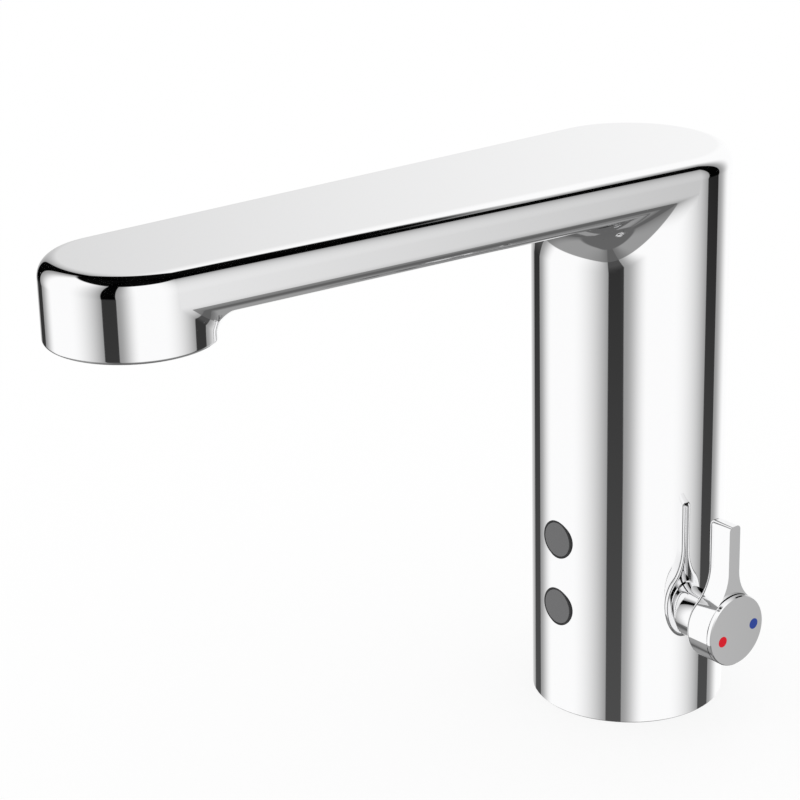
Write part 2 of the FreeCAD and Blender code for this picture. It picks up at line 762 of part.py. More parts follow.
node(turned("neck_sleeve", [
    ("sleeve_bore", "0"), ("sleeve_shank", "0"),
    ("sleeve_shank", "sleeve_seat - barrel_right"),
    ("sleeve_radius", "sleeve_seat - barrel_right"),
    ("sleeve_radius", "sleeve_end - barrel_right - 0.3"),
    ("sleeve_radius - 0.3", "sleeve_end - barrel_right"),
    ("sleeve_bore", "sleeve_end - barrel_right"),
], ("barrel_right", "0", "lever_height"), "x"), "neck_sleeve")

# Lever: a round knob with an upright blade that grows out of it in two flares


def lever_profile(body):
    knob = sizes["knob_radius"]
    flare = sizes["blade_flare"]
    half = sizes["blade_half"]
    top = sizes["blade_top"]
    corner = sizes["blade_corner"]
    across = half + flare
    along = math.sqrt((knob + flare) ** 2 - across ** 2)
    lean = math.atan2(along, across)
    up = FreeCAD.Vector(0, 0, 1)

    def arc(x, y, radius, start, end):
        circle = Part.Circle(FreeCAD.Vector(x, y, 0), up, radius)
        return Part.ArcOfCircle(circle, start, end)

    def line(x1, y1, x2, y2):
        return Part.LineSegment(FreeCAD.Vector(x1, y1, 0), FreeCAD.Vector(x2, y2, 0))

    sketch = new_sketch(body, "YZ_Plane")
    for item in (
        arc(0, 0, knob, math.pi - lean, 2 * math.pi + lean),
        arc(across, along, flare, math.pi, math.pi + lean),
        line(half, along, half, top - corner),
        arc(half - corner, top - corner, corner, 0, math.pi / 2),
        line(half - corner, top, corner - half, top),
        arc(corner - half, top - corner, corner, math.pi / 2, math.pi),
        line(-half, top - corner, -half, along),
        arc(-across, along, flare, -lean, 0),
    ):
        sketch.addGeometry(item)
    # knob to right flare, up the blade, over its top and down the left flare
    for one, end, other, start in (
        (0, 2, 1, 2), (1, 1, 2, 1), (2, 2, 3, 1), (3, 2, 4, 1),
        (4, 2, 5, 1), (5, 2, 6, 1), (6, 2, 7, 2), (7, 1, 0, 1),
    ):
        sketch.addConstraint(Sketcher.Constraint("Tangent", one, end, other, start))
    sketch.addConstraint(Sketcher.Constraint("Coincident", 0, 3, -1, 1))
    sketch.addConstraint(Sketcher.Constraint("Symmetric", 3, 3, 5, 3, -2))
    sketch.addConstraint(Sketcher.Constraint("Equal", 1, 7))
    sketch.addConstraint(Sketcher.Constraint("Equal", 3, 5))
    for constraint, formula in (
        (Sketcher.Constraint("Radius", 0, knob), "knob_radius"),
        (Sketcher.Constraint("Radius", 1, flare), "blade_flare"),
        (Sketcher.Constraint("Radius", 3, corner), "blade_corner"),
        (Sketcher.Constraint("DistanceX", 6, 1, 2, 2, 2 * half), "blade_half * 2"),
        (Sketcher.Constraint("DistanceY", -1, 1, 4, 1, top), "blade_top"),
    ):
        index = sketch.addConstraint(constraint)
        sketch.setExpression("Constraints[%d]" % index, tie(formula))
    return sketch


lever = doc.addObject("PartDesign::Body", "lever_form")
lever_pad = pad(lever, lever_profile(lever), "knob_length", "lever_pad")
place(lever, ("knob_start", "0", "lever_height"))
doc.recompute()


def heel_edge(edge):
    bounds = edge.BoundBox
    return bounds.XMax < 0.01 and bounds.ZMin > sizes["blade_top"] - 0.01


heel = lever.newObject("PartDesign::Fillet", "blade_heel")
heel.Base = (lever_pad, ["Edge%d" % number for number, edge in
                         enumerate(lever_pad.Shape.Edges, start=1) if heel_edge(edge)])
heel.setExpression("Radius", tie("blade_heel"))
lever_cuts = [
    rod("spindle_socket", "spindle_radius", "spindle_end - knob_start + 1",
        ("knob_start - 1", "0", "lever_height"), "x"),
    rod("cap_socket", "cap_boss", "cap_boss_depth + 1",
        ("cap_start - cap_boss_depth", "0", "lever_height"), "x"),
    rod("grub_hole", "grub_radius", "knob_radius",
        ("knob_start + knob_length / 2", "0", "lever_height - knob_radius - 1")),
]
node(carved("mixing_lever", lever, lever_cuts), "mixing_lever")

grub = rod("grub_blank", "grub_radius", "grub_length",
           ("knob_start + knob_length / 2", "0", "lever_height - spindle_radius - grub_length"))
grub_key = doc.addObject("Part::Prism", "grub_key")
grub_key.Polygon = 6
grub_key.setExpression("Circumradius", tie("grub_hex"))
grub_key.setExpression("Height", tie("grub_length / 2 + 1"))
place(grub_key, ("knob_start + knob_length / 2", "0",
                 "lever_height - spindle_radius - grub_length - 1"))
node(carved("lever_grub_screw", grub, [grub_key]), "lever_grub_screw")

cap = turned("cap_blank", [
    ("0", "0"), ("cap_boss", "0"), ("cap_boss", "cap_boss_depth"),
    ("cap_groove_radius", "cap_boss_depth"), ("cap_groove_radius", "cap_boss_depth + cap_groove"),
    ("cap_radius", "cap_boss_depth + cap_groove"),
    ("cap_radius", "cap_end - cap_start + cap_boss_depth - 0.25"),
    ("cap_radius - 0.25", "cap_end - cap_start + cap_boss_depth"),
    ("0", "cap_end - cap_start + cap_boss_depth"),
], ("cap_start - cap_boss_depth", "0", "lever_height"), "x")
dot_spots = {"hot_dot": ("- hot_dot_y", "lever_height - hot_dot_z"),
             "cold_dot": ("cold_dot_y", "lever_height + cold_dot_z")}
dot_seats = [rod(name + "_seat", "dot_radius", "2", ("cap_end - dot_depth",) + spot, "x")
             for name, spot in dot_spots.items()]
node(carved("lever_cap", cap, dot_seats), "lever_cap")
for name, spot in dot_spots.items():
    node(rod(name, "dot_radius", "dot_depth + 0.02", ("cap_end - dot_depth",) + spot, "x"), name)

# Sensor behind two round windows

housing = box("housing_blank", "housing_half * 2", "housing_depth", "housing_high - housing_low",
              ("- housing_half", "- housing_front", "housing_low"))
snouts = [rod(name + "_snout", "lens_radius", "snout_length + 1",
              ("0", "- housing_front - snout_length", height), "y")
          for name, height in lens_heights.items()]
housing_cuts = [box("housing_hollow", "board_half * 2", "housing_depth",
                    "housing_high - housing_low - housing_wall * 2",
                    ("- board_half", "housing_wall - housing_front", "housing_low + housing_wall"))]
housing_cuts += [rod(name + "_snout_bore", "snout_bore", "snout_length + 5",
                     ("0", "- housing_front - snout_length - 1", height), "y")
                 for name, height in lens_heights.items()]
node(carved("sensor_housing", joined("housing_form", [housing] + snouts), housing_cuts), "sensor_housing")
node(box("sensor_board", "board_half * 2", "board_thickness",
         "housing_high - housing_low - housing_wall * 2",
         ("- board_half", "- board_front", "housing_low + housing_wall")), "sensor_board")
for (side, height), label in zip(lens_heights.items(), ("receiver_diode", "emitter_diode")):
    node(turned(label, [
        ("0", "0"), ("diode_radius", "0"), ("diode_radius", "diode_length - diode_radius * 0.8"),
        ("diode_radius * 0.8", "diode_length - diode_radius * 0.35"),
        ("diode_radius * 0.45", "diode_length - diode_radius * 0.08"), ("0", "diode_length"),
    ], ("0", "- board_front", height), "-y"), label)
    node(turned(side + "_sensor_lens", [
        ("0", "0"), ("lens_radius", "0"), ("lens_radius", "lens_thickness - 0.15"),
        ("lens_radius - 0.15", "lens_thickness"), ("0", "lens_thickness"),
    ], ("0", "lens_thickness - column_radius", height), "-y"), side + "_sensor_lens")
gaskets = [turned(side + "_gasket", [
    ("lens_radius", "0"), ("lens_hole", "0"), ("lens_hole", "gasket_length - 0.15"),
    ("lens_hole - 0.15", "gasket_length"), ("lens_radius", "gasket_length"),
], ("0", "gasket_length - column_radius", height), "-y") for side, height in lens_heights.items()]
node(joined("lens_gaskets", gaskets), "lens_gaskets")

# Solenoid valve above the mixing block

valve = turned("valve_blank", [
    ("0", "0"), ("valve_radius", "0"), ("valve_radius", "valve_top - valve_bottom"),
    ("0", "valve_top - valve_bottom"),
], ("0", "0", "valve_bottom"))
tube_boss = rod("tube_boss", "boss_radius", "boss_top - valve_bottom", ("0", "tube_y", "valve_bottom"))
web = box("tube_web", "boss_radius * 1.6", "tube_y", "valve_top - valve_bottom - 2",
          ("- boss_radius * 0.8", "0", "valve_bottom"))
ring = turned("ring_hollow", [
    ("seat_wall", "0"), ("ring_outside", "0"), ("ring_outside", "valve_top - ring_floor + 1"),
    ("seat_wall", "valve_top - ring_floor + 1"),
], ("0", "0", "ring_floor"))
bolt_spots = [("%s bolt_place" % a, "%s bolt_place" % b) for a in ("", "-") for b in ("", "-")]
bolt_spots = [(a.strip(), b.strip()) for a, b in bolt_spots]
valve_cuts = [
    ring,
    rod("seat_hollow", "seat_bore", "valve_top", ("0", "0", "duct_floor")),
    rod("duct", "duct_radius", "tube_y", ("0", "0", "duct_height"), "y"),
    rod("boss_hollow", "boss_bore", "tube_socket - duct_floor + 1", ("0", "tube_y", "duct_floor")),
    rod("tube_seat", "tube_radius", "boss_top", ("0", "tube_y", "tube_socket")),
    rod("riser_socket", "riser_radius", "riser_top - valve_bottom + 1",
        ("0", "- riser_y", "valve_bottom - 1")),
    rod("riser_duct", "riser_bore", "ring_floor - valve_bottom + 1", ("0", "- riser_y", "valve_bottom")),
]
for number, spot in enumerate(bolt_spots):
    valve_cuts.append(rod("bolt_pilot_%d" % number, "bolt_radius", "bolt_length",
                          (spot[0], spot[1], "bonnet_top - bolt_length")))
node(carved("valve_body", joined("valve_form", [valve, tube_boss, web]), valve_cuts), "valve_body")

membrane = turned("diaphragm", [
    ("membrane_hole", "0"), ("membrane_radius", "0"), ("membrane_radius", "membrane_thickness"),
    ("ring_outside - 0.4", "membrane_thickness"), ("ring_outside - 1.4", "membrane_thickness + 0.7"),
    ("seat_wall + 0.8", "membrane_thickness + 0.7"), ("seat_wall", "membrane_thickness"),
    ("membrane_hole", "membrane_thickness"),
], ("0", "0", "valve_top"))
node(membrane, "diaphragm")
node(turned("diaphragm_insert", [
    ("pilot_radius", "0"), ("insert_stem", "0"),
    ("insert_stem", "valve_top + membrane_thickness + 0.1 - insert_bottom"),
    ("insert_radius", "valve_top + membrane_thickness + 0.1 - insert_bottom"),
    ("insert_radius", "insert_top - insert_bottom"), ("pilot_radius", "insert_top - insert_bottom"),
], ("0", "0", "insert_bottom")), "diaphragm_insert")

bonnet = turned("bonnet_blank", [
    ("guide_radius", "bonnet_roof - valve_top"), ("ring_outside", "bonnet_roof - valve_top"),
    ("ring_outside", "membrane_thickness"), ("membrane_radius", "membrane_thickness"),
    ("membrane_radius", "0"), ("valve_radius", "0"), ("valve_radius", "bonnet_top - valve_top - 0.6"),
    ("valve_radius - 0.6", "bonnet_top - valve_top"), ("guide_radius", "bonnet_top - valve_top"),
], ("0", "0", "valve_top"))
bonnet_holes = [rod("bonnet_hole_%d" % number, "bolt_radius", "bonnet_top",
                    (spot[0], spot[1], "valve_top - 1")) for number, spot in enumerate(bolt_spots)]
node(carved("valve_bonnet", bonnet, bonnet_holes), "valve_bonnet")

bolts = [turned("bonnet_bolt_%d" % number, [
    ("0", "0"), ("bolt_radius", "0"), ("bolt_radius", "bolt_length"), ("bolt_head", "bolt_length"),
    ("bolt_head", "bolt_length + bolt_head_height - 0.3"),
    ("bolt_head - 0.4", "bolt_length + bolt_head_height"), ("0", "bolt_length + bolt_head_height"),
], (spot[0], spot[1], "bonnet_top - bolt_length")) for number, spot in enumerate(bolt_spots)]
node(joined("bonnet_screws", bolts), "bonnet_screws")

node(turned("armature_guide", [
    ("guide_inside", "0"), ("guide_radius", "0"), ("guide_radius", "guide_top - guide_bottom"),
    ("0", "guide_top - guide_bottom"), ("0", "guide_core - guide_bottom"),
    ("guide_inside", "guide_core - guide_bottom"),
], ("0", "0", "guide_bottom")), "armature_guide")
node(turned("plunger", [
    ("0", "tip_seal_bottom + tip_seal_height - plunger_bottom"),
    ("tip_seal_radius", "tip_seal_bottom + tip_seal_height - plunger_bottom"),
    ("tip_seal_radius", "0"), ("plunger_radius - 0.8", "0"), ("plunger_radius", "0.8"),
    ("plunger_radius", "plunger_top - plunger_bottom"),
    ("pocket_radius", "plunger_top - plunger_bottom"),
    ("pocket_radius", "plunger_pocket - plunger_bottom"), ("0", "plunger_pocket - plunger_bottom"),
], ("0", "0", "plunger_bottom")), "plunger")
node(rod("plunger_tip_seal", "tip_seal_radius", "tip_seal_height", ("0", "0", "tip_seal_bottom")),
     "plunger_tip_seal")
node(coil_spring("plunger_spring", 2.2, 0.3, 6, sizes["guide_core"] - sizes["plunger_pocket"],
                 (0, 0, sizes["plunger_pocket"] + 0.3)), "plunger_spring")

node(turned("coil_bobbin", [
    ("guide_radius", "0"), ("bobbin_radius", "0"), ("bobbin_radius", "bobbin_flange"),
    ("bobbin_core", "bobbin_flange"), ("bobbin_core", "bobbin_top - bobbin_bottom - bobbin_flange"),
    ("bobbin_radius", "bobbin_top - bobbin_bottom - bobbin_flange"),
    ("bobbin_radius", "bobbin_top - bobbin_bottom"), ("guide_radius", "bobbin_top - bobbin_bottom"),
], ("0", "0", "bobbin_bottom")), "coil_bobbin")
node(turned("coil_winding", [
    ("bobbin_core", "0"), ("winding_radius", "0"),
    ("winding_radius", "bobbin_top - bobbin_bottom - bobbin_flange * 2"),
    ("bobbin_core", "bobbin_top - bobbin_bottom - bobbin_flange * 2"),
], ("0", "0", "bobbin_bottom + bobbin_flange")), "coil_winding")

yoke_outer = box("yoke_outer", "yoke_half * 2", "yoke_depth * 2",
                 "bobbin_top - bonnet_top + yoke_sheet",
                 ("- yoke_half", "- yoke_depth", "bonnet_top"))
yoke_inner = box("yoke_inner", "( yoke_half - yoke_sheet ) * 2", "yoke_depth * 2 + 2",
                 "bobbin_top - bonnet_top - yoke_sheet",
                 ("yoke_sheet - yoke_half", "- yoke_depth - 1", "bonnet_top + yoke_sheet"))
yoke_hole = rod("yoke_hole", "guide_radius", "guide_top", ("0", "0", "bonnet_top - 1"))
node(carved("coil_yoke", yoke_outer, [yoke_inner, yoke_hole]), "coil_yoke")

nut = doc.addObject("Part::Prism", "nut_blank")
nut.Polygon = 6
nut.setExpression("Circumradius", tie("nut_radius"))
nut.setExpression("Height", tie("guide_top - bobbin_top - yoke_sheet"))
place(nut, ("0", "0", "bobbin_top + yoke_sheet"))
nut_hole = rod("nut_hole", "guide_radius", "guide_top", ("0", "0", "bobbin_top"))
node(carved("coil_nut", nut, [nut_hole]), "coil_nut")

# Waterway: a bent copper tube from the valve to the elbow above the aerator


def tube_route(body):
    # up behind the coil, then forward inside the arm, parallel to it
    lean = math.radians(sizes["top_rise"])
    start = FreeCAD.Vector(sizes["tube_y"], sizes["tube_socket"], 0)
    level = sizes["top_height"] - sizes["arm_thickness"] + sizes["tube_axis"]
    corner = FreeCAD.Vector(sizes["tube_y"], level - math.tan(lean) * sizes["tube_y"], 0)
    finish = FreeCAD.Vector(-sizes["tube_end"], level + math.tan(lean) * sizes["tube_end"], 0)
    bend = sizes["tube_bend"]
    reach = bend * math.tan((math.pi / 2 - lean) / 2)
    low = corner - FreeCAD.Vector(0, reach, 0)
    heading = (finish - corner).normalize()
    centre = low - FreeCAD.Vector(bend, 0, 0)
    sketch = new_sketch(body, "YZ_Plane")
    sketch.addGeometry(Part.LineSegment(start, low))
    circle = Part.Circle(centre, FreeCAD.Vector(0, 0, 1), bend)
    sketch.addGeometry(Part.ArcOfCircle(circle, 0, math.pi / 2 - lean))
    sketch.addGeometry(Part.LineSegment(corner + heading * reach, finish))
    sketch.addConstraint(Sketcher.Constraint("Vertical", 0))
    sketch.addConstraint(Sketcher.Constraint("Tangent", 0, 2, 1, 1))
    sketch.addConstraint(Sketcher.Constraint("Tangent", 1, 2, 2, 1))
    measure(sketch, "DistanceX", 0, 1, "tube_y")
    measure(sketch, "DistanceY", 0, 1, "tube_socket")
    measure(sketch, "DistanceX", 2, 2, "- tube_end")
    measure(sketch, "DistanceY", 2, 2,
            "top_height - arm_thickness + tube_axis + tan( top_rise * 1 deg ) * tube_end")
    index = sketch.addConstraint(Sketcher.Constraint("Radius", 1, bend))
    sketch.setExpression("Constraints[%d]" % index, tie("tube_bend"))
    index = sketch.addConstraint(Sketcher.Constraint("Angle", 2, math.pi - lean))
    sketch.setExpression("Constraints[%d]" % index, tie("180 deg - top_rise * 1 deg"))
    return sketch


tube = doc.addObject("PartDesign::Body", "spout_tube")
route = tube_route(tube)
section = ring_sketch(tube, "tube_radius", "0", "tube_y")
section.setExpression("AttachmentOffset.Base.z", tie("tube_socket"))
inner = section.addGeometry(Part.Circle(FreeCAD.Vector(1, 1, 0), FreeCAD.Vector(0, 0, 1), 0.5))
section.addConstraint(Sketcher.Constraint("Coincident", inner, 3, 0, 3))
bore_index = section.addConstraint(Sketcher.Constraint("Radius", inner, 0.5))
section.setExpression("Constraints[%d]" % bore_index, tie("tube_bore"))
pipe = tube.newObject("PartDesign::AdditivePipe", "tube_pipe")
pipe.Profile = section
pipe.Spine = (route, ["Edge1", "Edge2", "Edge3"])
node(tube, "spout_tube")

elbow = turned("elbow_blank", [
    ("elbow_bore", "0"), ("elbow_radius", "0"), ("elbow_radius", "elbow_top - elbow_bottom"),
    ("0", "elbow_top - elbow_bottom"), ("0", "elbow_roof - elbow_bottom"),
    ("elbow_bore", "elbow_roof - elbow_bottom"),
], ("0", "- reach", "elbow_bottom"))
tube_socket = rod("tube_hollow", "tube_radius", "tube_end", ("0", "- tube_end", "0"), "y")
doc.recompute()
tube_socket.setExpression("Placement.Base.z", tie(
    "top_height - arm_thickness + tube_axis + tan( top_rise * 1 deg ) * tube_end"))
tube_socket.Placement.Rotation = FreeCAD.Rotation(FreeCAD.Vector(1, 0, 0), -90 - sizes["top_rise"])
tube_duct = rod("tube_duct", "tube_bore", "reach - tube_end + 2", ("0", "- reach", "0"), "y")
tube_duct.setExpression("Placement.Base.z", tie(
    "top_height - arm_thickness + tube_axis + tan( top_rise * 1 deg ) * tube_end"))
node(carved("outlet_elbow", elbow, [tube_socket, tube_duct]), "outlet_elbow")

node(turned("outlet_washer", [
    ("washer_inside", "0"), ("elbow_radius", "0"), ("elbow_radius", "washer_height"),
    ("washer_inside", "washer_height"),
], ("0", "- reach", "elbow_bottom - washer_height")), "outlet_washer")

collar = turned("aerator_blank", [
    ("aerator_lip", "0"), ("aerator_radius - 0.4", "0"), ("aerator_radius", "0.4"),
    ("aerator_radius", "elbow_bottom - washer_height - aerator_bottom"),
    ("aerator_inside", "elbow_bottom - washer_height - aerator_bottom"),
    ("aerator_inside", "lip_height"), ("aerator_lip", "lip_height"),
], ("0", "- reach", "aerator_bottom"))
slots = [box("key_slot_x", "aerator_radius * 2 + 2", "key_slot", "lip_height * 0.9",
             ("- aerator_radius - 1", "- reach - key_slot / 2", "aerator_bottom - 0.01")),
         box("key_slot_y", "key_slot", "aerator_radius * 2 + 2", "lip_height * 0.9",
             ("- key_slot / 2", "- reach - aerator_radius - 1", "aerator_bottom - 0.01"))]
node(carved("aerator_collar", collar, slots), "aerator_collar")

jets = doc.addObject("PartDesign::Body", "aerator_insert")
pad(jets, ring_sketch(jets, "insert_disc"), "insert_height", "insert_pad")
jet_rings = (("0", 1), ("jet_inner_ring", 6), ("jet_outer_ring", 12))
for number, (across, count) in enumerate(jet_rings):
    jet = pocketed(jets, ring_sketch(jets, "jet_radius", across), "jet_%d" % number)
    if count > 1:
        repeated(jets, jet, count, "jet_ring_%d" % number)
place(jets, ("0", "- reach", "aerator_bottom + lip_height"))
node(jets, "aerator_insert")

screen_ring = turned("screen_ring", [
    ("screen_inside", "0"), ("insert_disc", "0"), ("insert_disc", "screen_height"),
    ("screen_inside", "screen_height"),
], ("0", "- reach", "aerator_bottom + lip_height + insert_height"))
wires = []
for number in range(-4, 5):
    shift = "%.2f" % (1.8 * number)
    wires.append(box("wire_x_%d" % (number + 4), "screen_inside * 2.1", "screen_wire", "screen_wire",
                     ("- screen_inside * 1.05", "- reach - screen_wire / 2 + " + shift,
                      "aerator_bottom + lip_height + insert_height")))
    wires.append(box("wire_y_%d" % (number + 4), "screen_wire", "screen_inside * 2.1", "screen_wire",
                     ("- screen_wire / 2 + " + shift, "- reach - screen_inside * 1.05",
                      "aerator_bottom + lip_height + insert_height")))
screen_disc = rod("screen_disc", "screen_inside + 0.2", "screen_height",
                  ("0", "- reach", "aerator_bottom + lip_height + insert_height"))
mesh = shared("screen_mesh", joined("screen_wires", wires), screen_disc)
node(joined("aerator_screen", [screen_ring, mesh]), "aerator_screen")

doc.recompute()

# Nothing is written unless every object is sound

for thing in doc.Objects:
    if "Invalid" in thing.State or "Error" in thing.State:
        raise RuntimeError("%s failed: %s" % (thing.Name, thing.State))
os.makedirs("parts", exist_ok=True)
for thing in nodes:
    shape = thing.Shape
    if shape.isNull() or not shape.isValid() or not shape.Solids:
        raise RuntimeError(thing.Label + " has no sound shape")
    shape.exportStep("parts/%s.step" % thing.Label)
    print("%-18s solids %d  volume %9.1f mm3" % (thing.Label, len(shape.Solids), shape.Volume))
print("%d nodes" % len(nodes))
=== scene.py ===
import bmesh
import bpy
import json
import math
import numpy as np
from mathutils import Matrix, Vector


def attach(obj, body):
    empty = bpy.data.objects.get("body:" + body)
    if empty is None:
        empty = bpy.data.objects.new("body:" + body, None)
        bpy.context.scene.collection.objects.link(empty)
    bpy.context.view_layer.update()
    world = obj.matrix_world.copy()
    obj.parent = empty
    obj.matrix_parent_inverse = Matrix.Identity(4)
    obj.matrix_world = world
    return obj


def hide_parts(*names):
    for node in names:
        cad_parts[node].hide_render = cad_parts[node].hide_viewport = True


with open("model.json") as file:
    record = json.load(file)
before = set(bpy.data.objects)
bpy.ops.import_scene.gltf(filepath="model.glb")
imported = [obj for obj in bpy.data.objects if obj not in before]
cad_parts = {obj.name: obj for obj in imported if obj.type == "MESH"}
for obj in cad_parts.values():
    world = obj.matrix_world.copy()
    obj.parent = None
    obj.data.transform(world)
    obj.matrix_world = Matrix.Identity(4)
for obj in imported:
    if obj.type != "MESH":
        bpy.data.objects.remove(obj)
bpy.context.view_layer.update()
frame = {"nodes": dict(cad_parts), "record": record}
scene = bpy.context.scene
scene.view_settings.view_transform = "Standard"
print("frame loaded,", len(frame["nodes"]), "nodes")


# Small helpers for node trees

def newMaterial(name):
    material = bpy.data.materials.new(name)
    material.use_nodes = True
    material.node_tree.nodes.clear()
    return material, material.node_tree


def addNode(tree, kind, values=None, **settings):
    node = tree.nodes.new(kind)
    for key, value in settings.items():
        setattr(node, key, value)
    for socket, value in (values or {}).items():
        node.inputs[socket].default_value = value
    return node


def mathNode(tree, operation, first, second=None, third=None):
    node = addNode(tree, "ShaderNodeMath", operation=operation)
    for index, value in enumerate((first, second, third)):
        if value is None:
            continue
        if isinstance(value, bpy.types.NodeSocket):
            tree.links.new(value, node.inputs[index])
        else:
            node.inputs[index].default_value = value
    return node.outputs[0]


def blend(tree, share, first, second):
    # the first value where the share is 0, the second where it is 1
    change = mathNode(tree, "SUBTRACT", second, first)
    return mathNode(tree, "MULTIPLY_ADD", share, change, first)


def rangeNode(tree, value, bounds, kind="LINEAR"):
    node = addNode(tree, "ShaderNodeMapRange", interpolation_type=kind)
    tree.links.new(value, node.inputs["Value"])
    for socket, bound in bounds.items():
        if isinstance(bound, bpy.types.NodeSocket):
            tree.links.new(bound, node.inputs[socket])
        else:
            node.inputs[socket].default_value = bound
    return node.outputs["Result"]


# Finishes: one shader each, with the faint unevenness of a polished or moulded surface

haze = {"detail": 3.0, "grain": 0.6, "lowest": 0.3, "highest": 0.7, "bumpDepth": 0.0002}
looks = {
    "chrome": {"colour": (0.94, 0.94, 0.945), "metallic": 1.0, "roughness": (0.02, 0.05),
               "hazeScale": 220.0},
    "brass": {"colour": (0.72, 0.53, 0.25), "metallic": 1.0, "roughness": (0.22, 0.42),
              "hazeScale": 900.0, "relief": 0.25},
    "lens": {"colour": (0.045, 0.045, 0.048), "roughness": (0.12, 0.2), "hazeScale": 500.0,
             "Coat Weight": 1.0, "Coat Roughness": 0.03},
    "rubber": {"colour": (0.018, 0.018, 0.019), "roughness": (0.55, 0.75), "hazeScale": 1500.0,
               "relief": 0.3},
    "steel": {"colour": (0.62, 0.62, 0.64), "metallic": 1.0, "roughness": (0.2, 0.35),
              "hazeScale": 1200.0, "relief": 0.15},
    "whitePlastic": {"colour": (0.8, 0.8, 0.77), "roughness": (0.35, 0.5), "hazeScale": 700.0,
                     "relief": 0.12},
    "greyPlastic": {"colour": (0.42, 0.43, 0.45), "roughness": (0.3, 0.45), "hazeScale": 700.0,
                    "relief": 0.12},
    "blackPlastic": {"colour": (0.025, 0.025, 0.026), "roughness": (0.35, 0.5),
                     "hazeScale": 900.0, "relief": 0.2},
    "ceramic": {"colour": (0.86, 0.85, 0.81), "roughness": (0.1, 0.2), "hazeScale": 800.0},
    "copper": {"colour": (0.75, 0.4, 0.25), "metallic": 1.0, "roughness": (0.15, 0.3),
               "hazeScale": 600.0, "relief": 0.1},
    "board": {"colour": (0.03, 0.16, 0.07), "roughness": (0.3, 0.45), "hazeScale": 900.0,
              "relief": 0.1},
    "diode": {"colour": (0.06, 0.04, 0.1), "roughness": (0.06, 0.12), "hazeScale": 500.0},
    "hotRed": {"colour": (0.66, 0.008, 0.02), "roughness": (0.3, 0.4), "hazeScale": 1500.0,
               "Specular IOR Level": 0.1},
    "coldBlue": {"colour": (0.028, 0.06, 0.3), "roughness": (0.3, 0.4), "hazeScale": 1500.0,
                 "Specular IOR Level": 0.1},
}
slotFinish = {
    "chrome": "chrome", "brass": "brass", "lens": "lens", "rubber": "rubber", "steel": "steel",
    "white_plastic": "whitePlastic", "grey_plastic": "greyPlastic",
    "black_plastic": "blackPlastic", "ceramic": "ceramic", "copper": "copper",
    "board": "board", "diode": "diode", "hot_red": "hotRed", "cold_blue": "coldBlue",
}


def hazeGroup():
    tree = bpy.data.node_groups.new("polishHaze", "ShaderNodeTree")
    face = tree.interface
    for name in ("Scale", "Low", "High"):
        face.new_socket(name, in_out="INPUT", socket_type="NodeSocketFloat")
    for name in ("Roughness", "Height"):
        face.new_socket(name, in_out="OUTPUT", socket_type="NodeSocketFloat")
    given = addNode(tree, "NodeGroupInput").outputs
    result = addNode(tree, "NodeGroupOutput")
    place = addNode(tree, "ShaderNodeTexCoord")
    broad = addNode(tree, "ShaderNodeTexNoise",
                    {"Detail": haze["detail"], "Roughness": haze["grain"]})
    tree.links.new(place.outputs["Object"], broad.inputs["Vector"])
    tree.links.new(given["Scale"], broad.inputs["Scale"])
    spread = rangeNode(tree, broad.outputs["Fac"],
                       {"From Min": haze["lowest"], "From Max": haze["highest"],
                        "To Min": given["Low"], "To Max": given["High"]})
    tree.links.new(spread, result.inputs["Roughness"])
    tree.links.new(broad.outputs["Fac"], result.inputs["Height"])
    return tree


def finish(name, look, group):
    material, tree = newMaterial(name)
    values = {"Base Color": (*look["colour"], 1.0), "Metallic": look.get("metallic", 0.0)}
    for socket in ("Coat Weight", "Coat Roughness", "Specular IOR Level"):
        if socket in look:
            values[socket] = look[socket]
    shader = addNode(tree, "ShaderNodeBsdfPrincipled", values)
    output = addNode(tree, "ShaderNodeOutputMaterial")
    tree.links.new(shader.outputs[0], output.inputs["Surface"])
    low, high = look["roughness"]
    uneven = addNode(tree, "ShaderNodeGroup", node_tree=group)
    for socket, value in (("Scale", look["hazeScale"]), ("Low", low), ("High", high)):
        uneven.inputs[socket].default_value = value
    tree.links.new(uneven.outputs["Roughness"], shader.inputs["Roughness"])
    if "relief" in look:
        bump = addNode(tree, "ShaderNodeBump",
                       {"Strength": look["relief"], "Distance": haze["bumpDepth"]})
        tree.links.new(uneven.outputs["Height"], bump.inputs["Height"])
        tree.links.new(bump.outputs["Normal"], shader.inputs["Normal"])
    return material


polishHaze = hazeGroup()
finishes = {name: finish(name, look, polishHaze) for name, look in looks.items()}
for part in frame["record"]["subparts"]:
    owner = frame["nodes"][part["node"]]
    owner.data.materials.clear()
    owner.data.materials.append(finishes[slotFinish[part["material_slot"]]])
print("finishes on all nodes")


# Casting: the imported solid's own faces, with the outer ones made finer and laid on the exact form

casting = {
    "columnRadius": 25.5, "tipRadius": 20.0, "reach": 150.1,  # plan, in mm
    "topHeight": 150.14, "topRise": 1.07, "armThickness": 12.2,  # over the column; degrees
    "headBottom": 134.04, "headBack": -137.9, "overlap": 6.0,  # overlap: uprights into the arm
    "columnFlare": 14.8, "headFlare": 5.4, "rounding": 4.5, "headRounding": 0.9,  # radii
    "chamfer": 0.35,  # the foot's edge, which stays as packed
    "nearForm": 3.5, "facing": 0.6,  # which packed faces are outer ones: mm and cosine
    "bend": 5.0, "miss": 0.8, "slack": 0.01, "shortest": 0.5, "passes": 7,  # fineness
    "crease": 30.0,  # sharper edges than this many degrees stay sharp
}
search = {"start": 0.7, "turns": 10, "longest": 4.0, "settled": 1e-3,  # the flares' ball
          "flattest": 0.998, "leastSine": 1e-3, "margin": 1.0,
          "layTurns": 3, "farthest": 4.0, "onForm": 0.02, "probe": 0.002}  # laying points
millimetres = 1000.0


